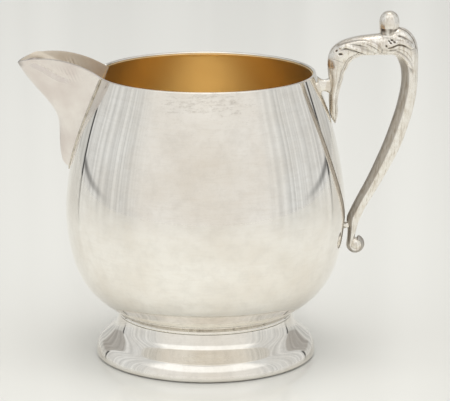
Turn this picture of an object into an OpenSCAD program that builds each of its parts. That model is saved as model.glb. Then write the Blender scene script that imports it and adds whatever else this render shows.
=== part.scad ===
// Footed cream jug of plated sheet metal, with a soldered spout and a cast handle.
// Millimetres. The origin is on the table under the axis of the bowl, +Z is up,
// the spout points along -X and the handle along +X.

/* [Bowl] */
// Height of the rim above the table
rim_z = 88.7; // [86:0.1:92]
// Radius of the rim, outside
rim_r = 33.6; // [32:0.1:35]
// Height of the widest ring of the bowl
belly_z = 46.2; // [44:0.1:49]
// Radius of the widest ring of the bowl, outside
belly_r = 43.1; // [41:0.1:45]
// Radius of the ring where the bowl meets the foot
seam_r = 26.55; // [25.5:0.05:27.5]
// Height of the ring where the bowl meets the foot
seam_z = 14.2; // [13.4:0.05:15]
// Height of the flat bottom of the bowl, outside
bottom_z = 10; // [9.2:0.1:10.6]
// Radius of the flat part of the bottom
bottom_r = 12; // [10:0.5:15]
// Thickness of the sheet that the bowl is spun from
wall = 1.0; // [0.7:0.05:1.3]
// Thickness that stands for the gold wash on the inside
gilt_t = 0.3; // [0.2:0.05:0.5]

/* [Foot] */
// Radius of the foot where it stands on the table
foot_r = 33.9; // [33:0.1:35]
// Thickness of the sheet that the foot is spun from
foot_wall = 1.0; // [0.7:0.05:1.3]
// Radius of the rounded lip that meets the bowl
lip_bead_r = 0.65; // [0.5:0.05:0.75]
// Radius of the solder line above the lip
foot_solder_r = 0.4; // [0.35:0.05:0.5]

/* [Spout] */
// How far the tip of the spout stands out from the axis
spout_reach = 57.2; // [55:0.1:60]
// Height of the tip above the rim
tip_rise = 2.7; // [1.5:0.1:4]
// How far the spout comes down the bowl from the rim
spout_drop = 30.1; // [27:0.1:33]
// Half of the width of the spout at the rim
spout_half_w = 12; // [11:0.1:13]
// Half of the width of the blunt lower end
spout_end_half_w = 1.0; // [0.7:0.05:1.4]
// How far the blunt lower end stands proud of the bowl
spout_end_proud = 1.1; // [0.8:0.05:1.5]
// Thickness of the spout's sheet
spout_wall = 0.9; // [0.7:0.05:1.1]
// Radius of the bead of solder along the seam
spout_solder_r = 0.4; // [0.3:0.02:0.5]

/* [Handle] */
// How far the handle stands out from the line of the bowl
handle_out = 25; // [23:0.1:27]
// Height of the top arm's centre above the rim
arm_rise = 8.05; // [6.5:0.1:9]
// Height of the scroll's centre
scroll_z = 34.35; // [33:0.1:36]
// How far the scroll's centre stands out from the bowl
scroll_out = 4.7; // [4.4:0.05:5.1]
// Radius of the scroll's path
scroll_r = 1.55; // [1.5:0.05:1.8]
// Depth of the casting across the arm, seen from the side
handle_w = 5.2; // [4.6:0.1:5.8]
// Thickness of the casting from side to side
handle_t = 6.8; // [6:0.1:7.6]
// Height of the leaf relief
leaf_relief = 0.45; // [0.2:0.05:0.6]

/* [Thumb knob] */
// Radius of the knob
knob_r = 3.05; // [2.7:0.05:3.3]
// Height of the knob above its seat
knob_h = 5.2; // [4.6:0.1:5.8]
// Height of the seat above the top arm's centre
knob_seat_rise = 5.25; // [5.1:0.05:5.6]
// Radius of the calyx that carries the knob
calyx_r = 3.0; // [2.6:0.05:3.2]

/* [Lugs] */
// Thickness of the upper lug from side to side
upper_lug_t = 3.6; // [3:0.1:3.8]
// Height of the upper lug
upper_lug_h = 6; // [5.4:0.1:6.8]
// How far the upper lug's top lies below the rim
upper_lug_drop = 1.4; // [1.2:0.1:2.2]
// Depth of the dip in the upper lug's top
upper_lug_dip = 1.0; // [0.5:0.1:1.3]
// Radius of the dip in the upper lug's top
upper_lug_dip_r = 2.1; // [1.8:0.1:2.6]
// Thickness of the lower lug from side to side
lower_lug_t = 3.2; // [2.6:0.1:3.6]
// Height of the lower lug
lower_lug_h = 2.6; // [2:0.1:3.2]
// Height of the lower lug's centre above the scroll's centre
lower_lug_rise = 6.1; // [5.6:0.1:6.8]

/* [Hidden] */
$fn = 144;
over = 2;
hair = 0.02;
ahead_share = 0.02;
bead_fn = 12;
corner_fn = 24;
silver = "#d9d8d4";
gold = "#b08a45";
solder_grey = "#a7a49c";
quarter = 90;
half_turn = 180;

// A point at share t of a Bezier curve of any degree
function bez(p, t) = len(p) == 1 ? p[0]
    : bez([for (i = [0:len(p) - 2]) p[i] * (1 - t) + p[i + 1] * t], t);
function curve(p, steps, from = 0) = [for (i = [from:steps]) bez(p, i / steps)];
function mix(a, b, t) = a * (1 - t) + b * t;
function unit(v) = v / norm(v);
function last(list) = list[len(list) - 1];
function flip(list) = [for (i = [len(list) - 1:-1:0]) list[i]];
function smooth(t) = let (c = min(1, max(0, t))) c * c * (3 - 2 * c);

// Bowl: the outline is two curves that meet at the widest ring, and a rounded bottom
belly_swell = belly_r - seam_r;
belly_rise = belly_z - seam_z;
neck_in = belly_r - rim_r;
neck_rise = rim_z - belly_z;
lower_share = [[0.816, 0.211], [0.860, 0.464], [1, 0.700]];
upper_share = [[1, 0.245], [0.564, 0.625], [0.501, 0.674]];
bottom_turn_share = [0.28, 0.6];
bowl_steps = 26;
bottom_steps = 10;
lower_points = concat([[seam_r, seam_z]],
    [for (s = lower_share) [seam_r + s[0] * belly_swell, seam_z + s[1] * belly_rise]],
    [[belly_r, belly_z]]);
upper_points = concat([[belly_r, belly_z]],
    [for (s = upper_share) [rim_r + s[0] * neck_in, belly_z + s[1] * neck_rise]],
    [[rim_r, rim_z]]);
seam_slope = unit(lower_points[1] - lower_points[0]);
bottom_run = seam_r - bottom_r;
bottom_points = [[bottom_r, bottom_z], [bottom_r + bottom_turn_share[0] * bottom_run, bottom_z],
    [seam_r, seam_z] - seam_slope * bottom_turn_share[1] * (seam_z - bottom_z),
    [seam_r, seam_z]];
outline = concat([[0, bottom_z]], curve(bottom_points, bottom_steps),
    curve(lower_points, bowl_steps, 1), curve(upper_points, bowl_steps, 1));

// The same outline moved inwards by a distance
function inset(p, d) = [for (i = [0:len(p) - 1])
    let (a = p[max(0, i - 1)], b = p[min(len(p) - 1, i + 1)], along = unit(b - a))
    i == 0 ? p[0] + [0, d] : p[i] + d * [-along[1], along[0]]];
rim_lean = unit(last(outline) - outline[len(outline) - 2]);
rim_across = [-rim_lean[1], rim_lean[0]];
rim_steps = 8;
radius_at = [for (p = concat(curve(lower_points, bowl_steps), curve(upper_points, bowl_steps, 1)))
    [p[1], p[0]]];
function bowl_r(z) = lookup(z, radius_at);

// The round edge of a sheet, from its outer face to its inner face
function sheet_edge(end, along, across, t) = [for (i = [1:rim_steps - 1])
    let (a = half_turn * i / rim_steps)
    end + across * t / 2 * (1 - cos(a)) + along * t / 2 * sin(a)];

// Everything inside the outer face of the bowl, for cutting what is soldered on
module bowl_block() {
    rotate_extrude()
        polygon(concat(outline, [[rim_r, rim_z + over], [0, rim_z + over]]));
}

// The V-shaped notch in the bowl behind the spout, smaller than the spout by its seam
notch_land = 1.6;
notch_steps = 24;
module notch() {
    v = [for (s = [0:notch_steps])
        let (q = seam_at(s / notch_steps)) [max(q[1] - notch_land, 0), q[2] + notch_land]];
    side = [for (p = v) if (p[0] > 0) p];
    rotate([quarter, 0, -quarter])
        linear_extrude(spout_reach)
            polygon(concat(side, [[last(side)[0], rim_z + over], [-last(side)[0], rim_z + over]],
                flip([for (p = side) [-p[0], p[1]]])));
}

module body_shell() {
    color(silver) difference() {
        rotate_extrude()
            polygon(concat(outline, sheet_edge(last(outline), rim_lean, rim_across, wall),
                flip(inset(outline, wall))));
        notch();
    }
}

module gilt_lining() {
    color(gold) difference() {
        rotate_extrude()
            polygon(concat(inset(outline, wall), flip(inset(outline, wall + gilt_t))));
        notch();
    }
}

// Foot: a rounded lip, a steep neck, a sloping flange and a rolled edge
lip_seat_share = [0, 1.15];
lip = [seam_r, seam_z] - lip_seat_share * lip_bead_r;
flange_run = foot_r - lip[0];
flange_share = [[0.063, 0.959], [0.110, 0.773], [0.239, 0.681], [0.117, 0.690], [0.721, 0.418]];
roll_share = [[0.915, 0.333], [1.010, 0.228], [1.083, 0.067], [1, 0]];
foot_steps = 16;
flange_points = [for (s = flange_share) [lip[0] + s[0] * flange_run, s[1] * lip[1]]];
roll_points = concat([last(flange_points)],
    [for (s = roll_share) [lip[0] + s[0] * flange_run, s[1] * lip[1]]]);
foot_outline = flip(concat(curve(flange_points, foot_steps), curve(roll_points, foot_steps, 1)));
foot_top = [lip, [lip[0], seam_z]];

module foot_shell() {
    outer = concat(foot_outline, foot_top);
    inner = inset(foot_outline, foot_wall);
    floor_in = [foot_r - foot_wall, 0];
    inside = [for (i = [1:len(inner) - 1]) if (inner[i][1] > 0) inner[i]];
    color(silver) difference() {
        rotate_extrude() {
            polygon(concat(outer, [[last(inner)[0] - foot_wall / 2, seam_z]], flip(inside),
                [floor_in]));
            translate(lip)
                circle(lip_bead_r, $fn = bead_fn);
        }
        bowl_block();
    }
}

// Solder in the nook between the lip and the bowl
nook_share = [0.30, 1.05];
module foot_solder() {
    nook = lip + nook_share * lip_bead_r;
    color(solder_grey) difference() {
        rotate_extrude()
            translate(nook)
                circle(foot_solder_r, $fn = bead_fn);
        bowl_block();
        rotate_extrude()
            translate(lip)
                circle(lip_bead_r, $fn = bead_fn);
        foot_inside();
    }
}

// What lies inside the outer face of the foot
module foot_inside() {
    rotate_extrude()
        polygon(concat([[0, 0]], foot_outline, foot_top, [[0, seam_z]]));
}

// Spout: sections that run from the seam on one side, round the keel, to the seam on the other.
// Distances are measured outwards from the axis of the bowl, and the spout is turned to -X last.
spout_low = rim_z - spout_drop;
tip = [spout_reach, rim_z + tip_rise];
seam_share = [[0.38, 0.145], [0.85, 0.41]];
keel_share = [[0.368, 0.337], [-0.264, 0.599], [0.472, 0.577]];
keel_foot = [bowl_r(spout_low) + spout_end_proud, spout_low];
keel_run = tip[0] - keel_foot[0];
keel_points = concat([keel_foot],
    [for (s = keel_share) [keel_foot[0] + s[0] * keel_run,
        keel_foot[1] + s[1] * (tip[1] - keel_foot[1])]],
    [tip]);
seam_points = concat([[spout_end_half_w, spout_low]],
    [for (s = seam_share) [s[0] * spout_half_w, spout_low + s[1] * spout_drop]],
    [[spout_half_w, rim_z]]);
function seam_at(t) = let (q = bez(seam_points, t), r = bowl_r(q[1]))
    [sqrt(r * r - q[0] * q[0]), q[0], q[1]];
function keel_at(t) = let (k = bez(keel_points, t)) [k[0], 0, k[1]];

// The mouth: the upper edge lifts and spreads near the end of the sections
mouth_round_share = 0.72;
mouth_side_share = 0.35;
mouth_lift_share = [0.242, 0.025, 0.617];
lip_lift_share = [-0.100, 0, 0.133];
mouth_lift = mouth_lift_share * spout_half_w;
lip_lift = lip_lift_share * spout_half_w;
lift_start_share = 0.55;
sink = 2.2;
spout_rings = 30;
spout_sides = 12;
function lift(t) = pow(max(0, (t - lift_start_share) / (1 - lift_start_share)), 2);

// One section. thin is how far the section is drawn in, for the inner face of the sheet
function section(t, thin) = let (
    k = keel_at(t),
    seam = seam_at(t),
    f = lift(t),
    along = unit(keel_at(t + ahead_share) - k),
    k_in = k + thin * [-along[2], 0, along[0]],
    q = [seam[0], max(seam[1] - thin, hair), seam[2]],
    a = k_in + f * lip_lift + [0, mouth_round_share * q[1], 0],
    b = mix(q, k_in, mouth_side_share) + f * mouth_lift,
    q_deep = q + sink * unit(q - b),
    side = curve([k_in, a, b, q_deep], spout_sides))
    concat(flip([for (p = side) [p[0], -p[1], p[2]]]), [for (i = [1:spout_sides]) side[i]]);

// A closed solid through a list of rings that have the same number of points
function cap(first, count, turn) = [for (i = [0:floor((count - 3) / 2)]) let (
    a = first + i,
    b = a + 1,
    c = first + count - 2 - i,
    d = c + 1,
    faces = b == c ? [[a, b, d]] : [[a, b, d], [b, c, d]])
    each (turn ? [for (f = faces) flip(f)] : faces)];
function skin(rings, count) = [for (r = [0:rings - 2], i = [0:count - 1]) let (
    a = r * count + i, b = r * count + (i + 1) % count, c = a + count, d = b + count)
    each [[a, b, d], [a, d, c]]];
module loft(rings) {
    count = len(rings[0]);
    polyhedron([for (ring = rings) each ring],
        concat(cap(0, count, true), skin(len(rings), count),
            cap((len(rings) - 1) * count, count, false)), convexity = 10);
}

module spout_form(thin, from, to) {
    loft([for (i = [0:spout_rings])
        [for (p = section(mix(from, to, i / spout_rings), thin)) [-p[0], p[1], p[2]]]]);
}
inner_from_share = 0.12;
inner_to_share = 1.06;

module spout() {
    color(silver) difference() {
        spout_form(0, 0, 1);
        spout_form(spout_wall, inner_from_share, inner_to_share);
        bowl_block();
    }
}

// Solder along the seam, down one side of the spout, round its blunt end and up the other side: a
// half-round bead that lies on the bowl, cut back to the outer face of the spout
bead_rings = 16;
bead_sides = 6;
function facing(p) = let (r = bowl_r(p[2]))
    unit([p[0] / r, p[1] / r, (bowl_r(p[2] - hair) - bowl_r(p[2] + hair)) / (2 * hair)]);
module spout_solder() {
    down = [for (i = [bead_rings:-1:0]) seam_at(i / bead_rings)];
    path = concat(down, [for (p = flip(down)) [p[0], -p[1], p[2]]]);
    rings = [for (i = [0:len(path) - 1]) let (
        along = unit(path[min(i + 1, len(path) - 1)] - path[max(i - 1, 0)]),
        out = facing(path[i]),
        side = unit(cross(along, out)))
        [for (j = [0:bead_sides]) let (a = half_turn * j / bead_sides)
            path[i] + hair * out + spout_solder_r * (sin(a) * out - cos(a) * side)]];
    color(solder_grey) difference() {
        loft([for (ring = rings) [for (p = ring) [-p[0], p[1], p[2]]]]);
        spout_form(0, 0, 1);
    }
}

// Handle: rings across a path that starts at the pointed tongue under the rim, runs up and over
// the top arm, down the lower limb and round the scroll. A row holds how far out the path is
// from the line of the bowl, how high above the scroll, and the half depth and half thickness.
handle_share = [
    [0.034, 0.610, 0.13, 0.12], [0.034, 0.661, 0.49, 0.41], [0.039, 0.704, 0.52, 0.59],
    [0.052, 0.745, 0.57, 0.68], [0.077, 0.786, 0.64, 0.74], [0.101, 0.829, 0.82, 0.79],
    [0.123, 0.873, 1.03, 0.85], [0.150, 0.907, 1.24, 0.91], [0.190, 0.942, 1.38, 0.97],
    [0.251, 0.966, 1.36, 1.00], [0.337, 0.983, 1.26, 1.00], [0.448, 0.996, 1.19, 1.00],
    [0.569, 1.001, 1.22, 1.00], [0.675, 1.004, 1.27, 1.03], [0.790, 1.009, 1.42, 1.06],
    [0.901, 1.019, 1.69, 1.06], [0.970, 0.998, 1.60, 1.03], [1.006, 0.958, 1.33, 0.97],
    [1.016, 0.909, 1.08, 0.91], [1.010, 0.861, 0.97, 0.88], [0.990, 0.804, 0.96, 0.87],
    [0.935, 0.724, 1.00, 0.85], [0.858, 0.643, 1.02, 0.82], [0.721, 0.523, 1.03, 0.79],
    [0.581, 0.423, 0.96, 0.76], [0.424, 0.322, 0.85, 0.71], [0.258, 0.220, 0.71, 0.65],
    [0.184, 0.169, 0.66, 0.62], [0.136, 0.129, 0.62, 0.59], [0.103, 0.089, 0.54, 0.56],
    [0.077, 0.049, 0.46, 0.56]];
arm_z = rim_z + arm_rise;
handle_rise = arm_z - scroll_z;
tongue_z = scroll_z + handle_share[0][1] * handle_rise;
lug_z = scroll_z + lower_lug_rise;
function bowl_line(z) = mix(bowl_r(lug_z), bowl_r(tongue_z), (z - lug_z) / (tongue_z - lug_z));
function row_at(s) = let (z = scroll_z + s[1] * handle_rise)
    [bowl_line(z) + s[0] * handle_out, z, s[2] * handle_w / 2, s[3] * handle_t / 2];
handle_rows = [for (s = handle_share) row_at(s)];

// A smooth curve that meets every row. The last entry of a station is its place among the rows
function through(a, b, c, d, t) = (2 * b + (c - a) * t + (2 * a - 5 * b + 4 * c - d) * t * t
    + (3 * b - a - 3 * c + d) * t * t * t) / 2;
rows_end = len(handle_rows) - 1;
leaf_rows = [7, 17];
leaf_steps = 5;
plain_steps = 2;
function steps_in(i) = i >= leaf_rows[0] && i <= leaf_rows[1] ? leaf_steps : plain_steps;
function row(i) = handle_rows[min(max(i, 0), rows_end)];
limb_path = [for (i = [0:rows_end - 1], j = [0:steps_in(i) - 1]) let (t = j / steps_in(i))
    concat(through(row(i - 1), row(i), row(i + 1), row(i + 2), t), [i + t])];
scroll_x = bowl_r(scroll_z) + scroll_out;
scroll_from = 180;
scroll_to = 440;
scroll_steps = 14;
scroll_half_share = [0.75, 0.92];
scroll_path = [for (i = [0:scroll_steps]) let (
    a = mix(scroll_from, scroll_to, i / scroll_steps),
    half = mix(scroll_half_share[0], scroll_half_share[1], i / scroll_steps))
    [scroll_x + scroll_r * cos(a), scroll_z + scroll_r * sin(a), half * scroll_r,
        last(handle_rows)[3], rows_end + 1]];
handle_path = concat(limb_path, [concat(last(handle_rows), [rows_end])], scroll_path);

// Half of a section, from the outer edge to the inner edge: round on the arm, and on the limb two
// faces that meet at a sharp ridge
section_turn = 12;
section_steps = half_turn / section_turn;
ridge_step = 9;
outer_share = [[1, 0], [1.02, 0.74], [0.42, 0.84], [-0.20, 1]];
inner_share = [[-0.20, 1], [-0.56, 0.70], [-1, 0.42], [-1, 0]];
function round_at(k) = [cos(k * section_turn), sin(k * section_turn)];
function ridge_at(k) = k <= ridge_step ? bez(outer_share, k / ridge_step)
    : bez(inner_share, (k - ridge_step) / (section_steps - ridge_step));
ridge_rows = [16, 19];

// Leaf relief: each fold runs along some rows, at an angle round the section that changes along
// it, and falls off sharply on one side and gently on the other. A fold holds its first and last
// row, its angles, its two widths and its height as a share of the relief.
leaf_fold_shares = [
    [0.4, 7.5, [90, 92, 88, 84], 24, 24, 0.8],
    [8.1, 11, [37, 50, 85, 134], 7, 40, 1.0],
    [8.8, 13.8, [58, 66, 62, 124], 22, 12, 1.0],
    [10.2, 13.4, [86, 122, 134, 142], 26, 8, 0.9],
    [13.4, 17.6, [80, 86, 84, 72], 14, 10, 0.8],
    [13.0, 18, [124, 112, 112, 98], 8, 22, 0.9],
    [14.0, 16.6, [16, 36, 60, 66], 8, 16, 0.7]];
function fold(f, place, angle) = let (s = (place - f[0]) / (f[1] - f[0]))
    s <= 0 || s >= 1 ? 0 : let (off = angle - bez(f[2], s), width = off < 0 ? f[3] : f[4])
        f[5] * sqrt(sin(half_turn * s)) * exp(-pow(off / width, 2));
function total(list) = [for (i = 0, t = list[0]; i < len(list); i = i + 1,
    t = t + (i < len(list) ? list[i] : 0)) t][len(list) - 1];
function relief(place, angle) = leaf_relief * total([for (f = leaf_fold_shares) fold(f, place, angle)]);

function ring_at(i) = let (
    here = handle_path[i],
    before = handle_path[max(i - 1, 0)],
    after = handle_path[min(i + 1, len(handle_path) - 1)],
    along = unit([after[0] - before[0], after[1] - before[1]]),
    out = [-along[1], along[0]],
    ridge = smooth((here[4] - ridge_rows[0]) / (ridge_rows[1] - ridge_rows[0])),
    half = [for (k = [0:section_steps]) let (
        angle = k * section_turn,
        p = mix(round_at(k), ridge_at(k), ridge),
        d = relief(here[4], angle))
        [p[0] * here[2] + d * cos(angle), p[1] * here[3] + d * sin(angle)]],
    both = concat(half, [for (k = [len(half) - 2:-1:1]) [half[k][0], -half[k][1]]]))
    [for (p = both) [here[0] + out[0] * p[0], p[1], here[1] + out[1] * p[0]]];

knob_out_share = 0.797;
knob_x = bowl_line(arm_z) + knob_out_share * handle_out;
knob_z = arm_z + knob_seat_rise;
calyx_shares = [[1, 0], [0.84, 0.50], [0.90, 0.88], [1, 1]];
calyx_steps = 8;

module handle_form() {
    loft([for (i = [0:len(handle_path) - 1]) ring_at(i)]);
    cup = [for (s = calyx_shares) [s[0] * calyx_r, s[1] * knob_seat_rise]];
    translate([knob_x, 0, arm_z])
        rotate_extrude($fn = 40)
            polygon(concat([[0, 0]], curve(cup, calyx_steps), [[0, knob_seat_rise]]));
}

module handle() {
    color(silver) difference() {
        handle_form();
        bowl_block();
        knob_form();
    }
}

// Knob: an egg-shaped turning that stands on the flat top of the calyx, against the shoulder
knob_steps = 14;
egg_share = [[0.967, 0], [1.082, 0.43], [0.95, 1], [0, 1]];
module knob_form() {
    egg = [for (s = egg_share) [s[0] * knob_r, s[1] * knob_h]];
    translate([knob_x, 0, knob_z])
        rotate_extrude($fn = 72)
            polygon(concat([[0, 0]], curve(egg, knob_steps)));
}

module thumb_knob() {
    color(silver) knob_form();
}

// A lug is a short round-edged bar from the bowl into the casting
corner_share = 0.25;
module lug(from, to, height, thick) {
    corner = corner_share * min(height, thick);
    translate([from, 0, 0])
        rotate([quarter, 0, quarter])
            linear_extrude(to - from)
                offset(corner, $fn = corner_fn)
                    square([thick - 2 * corner, height - 2 * corner], center = true);
}

tongue_share = 0.066;
dip_place_share = 0.6;
module upper_lug() {
    top = rim_z - upper_lug_drop;
    middle = top - upper_lug_h / 2;
    dip_x = mix(bowl_r(top), bowl_line(top), dip_place_share);
    color(silver) difference() {
        translate([0, 0, middle])
            lug(bowl_r(top) - wall, bowl_line(middle) + tongue_share * handle_out,
                upper_lug_h, upper_lug_t);
        translate([dip_x, 0, top - upper_lug_dip + upper_lug_dip_r])
            rotate([quarter, 0, 0])
                cylinder(r = upper_lug_dip_r, h = upper_lug_t + over, center = true);
        handle_form();
        bowl_block();
    }
}

module lower_lug() {
    color(silver) difference() {
        translate([0, 0, lug_z])
            lug(bowl_r(lug_z) - wall, bowl_line(lug_z) + handle_w / 2, lower_lug_h, lower_lug_t);
        handle_form();
        bowl_block();
    }
}

body_shell();
gilt_lining();
foot_shell();
foot_solder();
spout();
spout_solder();
handle();
thumb_knob();
upper_lug();
lower_lug();
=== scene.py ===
"""Dressed model of a footed cream jug of silver plate, with a gilt inside, a soldered leaf-shaped
spout and a cast scroll handle with a thumb knob. Every length is in metres."""

import bisect
import math

import bmesh
import bpy
from mathutils import Matrix, Vector, noise


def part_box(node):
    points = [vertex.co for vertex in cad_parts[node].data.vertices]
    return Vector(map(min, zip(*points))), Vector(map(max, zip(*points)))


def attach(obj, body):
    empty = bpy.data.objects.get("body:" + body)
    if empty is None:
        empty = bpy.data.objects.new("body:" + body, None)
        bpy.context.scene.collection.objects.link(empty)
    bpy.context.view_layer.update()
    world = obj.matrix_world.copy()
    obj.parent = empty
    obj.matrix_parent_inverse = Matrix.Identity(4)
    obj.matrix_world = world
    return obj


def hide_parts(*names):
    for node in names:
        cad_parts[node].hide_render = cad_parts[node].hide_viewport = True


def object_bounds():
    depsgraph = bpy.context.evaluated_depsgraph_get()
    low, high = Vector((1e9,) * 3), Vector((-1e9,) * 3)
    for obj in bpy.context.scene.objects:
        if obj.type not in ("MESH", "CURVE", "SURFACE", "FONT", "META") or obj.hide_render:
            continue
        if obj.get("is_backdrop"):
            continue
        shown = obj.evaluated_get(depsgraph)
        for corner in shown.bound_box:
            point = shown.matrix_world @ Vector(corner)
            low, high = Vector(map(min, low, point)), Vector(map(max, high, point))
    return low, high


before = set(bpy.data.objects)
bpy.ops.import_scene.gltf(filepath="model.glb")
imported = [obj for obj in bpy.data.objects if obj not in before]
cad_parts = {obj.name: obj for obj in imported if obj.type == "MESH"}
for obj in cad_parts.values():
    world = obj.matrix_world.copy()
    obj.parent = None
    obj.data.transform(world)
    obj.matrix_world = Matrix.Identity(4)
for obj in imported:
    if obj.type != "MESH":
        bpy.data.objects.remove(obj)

bl_info = {
    "name": "Footed cream jug",
    "version": (1, 0, 0),
    "blender": (4, 5, 0),
    "location": "3D View > Sidebar > Jug",
    "description": "Builds a footed cream jug of silver plate and the table it stands on",
    "category": "Add Mesh",
}

MM = 0.001
FULL_TURN = 2 * math.pi
CAD_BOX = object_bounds()


def rgb(code):
    """An sRGB hex colour as a linear colour with alpha."""
    parts = [int(code[i : i + 2], 16) / 255 for i in (1, 3, 5)]
    return [c / 12.92 if c <= 0.04045 else ((c + 0.055) / 1.055) ** 2.4 for c in parts] + [1.0]


def length(name, description, default):
    return bpy.props.FloatProperty(
        name=name, description=description, default=default * MM, unit="LENGTH", subtype="DISTANCE"
    )


def colour(name, description, code):
    return bpy.props.FloatVectorProperty(
        name=name, description=description, default=rgb(code), size=4, min=0, max=1, subtype="COLOR"
    )


class JugSizes(bpy.types.PropertyGroup):
    """Sizes of the jug's pieces."""

    rim_z: length("Rim height", "Height of the rim above the table", 88.7)
    rim_r: length("Rim radius", "Radius of the rim, outside", 33.6)
    belly_z: length("Belly height", "Height of the widest ring of the bowl", 46.2)
    belly_r: length("Belly radius", "Radius of the widest ring of the bowl", 43.1)
    seam_r: length("Foot seam radius", "Radius of the ring where the bowl meets the foot", 26.55)
    seam_z: length("Foot seam height", "Height of the ring where the bowl meets the foot", 14.2)
    bottom_z: length("Bottom height", "Height of the flat bottom of the bowl", 10)
    bottom_r: length("Bottom radius", "Radius of the flat part of the bottom", 12)
    wall: length("Bowl sheet", "Thickness of the sheet that the bowl is spun from", 1.0)
    gilt: length("Gold wash", "Thickness that stands for the gold wash", 0.3)
    foot_r: length("Foot radius", "Radius of the foot where it stands on the table", 33.9)
    foot_wall: length("Foot sheet", "Thickness of the sheet that the foot is spun from", 1.0)
    spout_reach: length("Spout reach", "How far the spout's tip stands out from the axis", 57.2)
    tip_rise: length("Tip rise", "Height of the spout's tip above the rim", 2.7)
    spout_drop: length("Spout drop", "How far the spout comes down the bowl from the rim", 30.1)
    spout_half: length("Spout half width", "Half of the width of the spout at the rim", 12)
    spout_wall: length("Spout sheet", "Thickness of the spout's sheet", 0.9)
    handle_out: length("Handle reach", "How far the handle stands out from the bowl's line", 25)
    handle_w: length("Handle depth", "Depth of the casting, seen from the side", 5.2)
    handle_t: length("Handle thickness", "Thickness of the casting from side to side", 6.8)
    scroll_z: length("Scroll height", "Height of the scroll's centre", 34.35)
    knob_r: length("Knob radius", "Radius of the thumb knob", 3.05)
    knob_h: length("Knob height", "Height of the thumb knob above its seat", 5.2)


class JugFinish(bpy.types.PropertyGroup):
    """Colours of the jug's metals and of the table."""

    silver: colour("Silver", "Polished silver plate", "#F7F4EE")
    tarnish: colour("Tarnish", "The warm haze that polishing leaves on silver plate", "#E4DCD0")
    # The oxide colour also paints shade along the foot's standing edge, over the knob's cup and on
    # the limb's inner face
    oxide_and_shade: colour("Oxide", "Dark sulphide that stays in folds and along joints", "#5A4E42")
    gold: colour("Gold wash", "Gold wash inside the bowl", "#FEE6B4")
    solder: colour("Solder", "Plated solder along the joints", "#D2CBBE")
    table: colour("Table", "Pale sheet that the jug stands on", "#F0F0EC")


# ---------------------------------------------------------------- curves


def bez(points, t):
    """The point at share t of a Bezier curve of any degree."""
    while len(points) > 1:
        points = [a.lerp(b, t) for a, b in zip(points, points[1:])]
    return points[0]


def curve(points, steps):
    return [bez(points, i / steps) for i in range(steps + 1)]


def between(first, last, shares):
    """Control points from first to last. A share is a place between them, axis by axis."""
    inner = [Vector(a + k * (b - a) for a, b, k in zip(first, last, share)) for share in shares]
    return [Vector(first)] + inner + [Vector(last)]


def scaled(points, width, height):
    return [Vector((a * width, b * height)) for a, b in points]


def ring_of(centre, radius, angles):
    """Points round a centre, at angles in radians."""
    return [centre + radius * Vector((math.cos(a), math.sin(a))) for a in angles]


def ramp(x, start, end):
    """0 up to start and 1 from end on, with an even curve between. The end may come first."""
    t = min(1.0, max(0.0, (x - start) / (end - start)))
    return t * t * (3 - 2 * t)


def closed_in(low, high, is_below, halvings):
    """The two ends of the short stretch in which is_below(place) stops being true."""
    for _ in range(halvings):
        mid = (low + high) / 2
        low, high = (mid, high) if is_below(mid) else (low, mid)
    return low, high


# Outline of the bowl: control points as shares, and rows of the mesh in each part of it
LOWER_SHARES = [(0.816, 0.211), (0.860, 0.464), (1, 0.700)]
UPPER_SHARES = [(0, 0.245), (0.436, 0.625), (0.499, 0.674)]
FLAT_ROWS, TURN_ROWS, LOWER_ROWS, UPPER_ROWS = 5, 12, 44, 52
# How far the turn from the flat bottom to the side keeps its direction at each end
TURN_START, TURN_END = 0.28, 0.6
SLOPE_STEP = 0.2 * MM


def bowl_outline(s):
    """Outer outline of the bowl from the axis to the rim, as (radius, height)."""
    seam, belly = Vector((s.seam_r, s.seam_z)), Vector((s.belly_r, s.belly_z))
    lower = between(seam, belly, LOWER_SHARES)
    upper = between(belly, (s.rim_r, s.rim_z), UPPER_SHARES)
    slope = (lower[1] - lower[0]).normalized()
    turn = [
        Vector((s.bottom_r, s.bottom_z)),
        Vector((s.bottom_r + TURN_START * (s.seam_r - s.bottom_r), s.bottom_z)),
        seam - slope * TURN_END * (s.seam_z - s.bottom_z),
        seam,
    ]
    flat = [Vector((0, s.bottom_z)), turn[0]]
    rows = [(flat, FLAT_ROWS), (turn, TURN_ROWS), (lower, LOWER_ROWS), (upper, UPPER_ROWS)]
    return [bez(p, i / n) for p, n in rows for i in range(n)] + [upper[-1]]


def inward(outline, i):
    """Direction into the wall at point i of an outline."""
    along = (outline[min(i + 1, len(outline) - 1)] - outline[max(i - 1, 0)]).normalized()
    return Vector((-along.y, along.x))


class BowlSide:
    """Looks up the bowl's outer radius and slope at a height."""

    def __init__(self, s):
        side = bowl_outline(s)[FLAT_ROWS + TURN_ROWS :]
        self.z, self.r = [p.y for p in side], [p.x for p in side]

    def radius(self, z):
        i = min(max(bisect.bisect(self.z, z), 1), len(self.z) - 1)
        t = (z - self.z[i - 1]) / (self.z[i] - self.z[i - 1])
        return self.r[i - 1] + min(t, 1.0) * (self.r[i] - self.r[i - 1])

    def facing(self, p):
        """Outward normal of the bowl at a point on it."""
        r = math.hypot(p.x, p.y)
        lean = self.radius(p.z - SLOPE_STEP) - self.radius(p.z + SLOPE_STEP)
        return Vector((p.x / r, p.y / r, lean / (2 * SLOPE_STEP))).normalized()


SEAM_SHARES = [(0.38, 0.145), (0.85, 0.41)]
KEEL_SHARES = [(0.368, 0.337), (-0.264, 0.599), (0.472, 0.577)]
# The mouth opens above the share FLARE_FROM. The lifts are shares of the spout's half width.
FLARE_FROM = 0.55
MOUTH_LIFT = Vector((0.242, 0.025, 0.617))
LIP_LIFT = Vector((-0.100, 0, 0.133))
# A section's two middle control points: how far the first stands beside the keel, and how far
# the second is drawn from the seam towards the keel
KEEL_FULLNESS, SEAM_PULL = 0.72, 0.35
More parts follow.
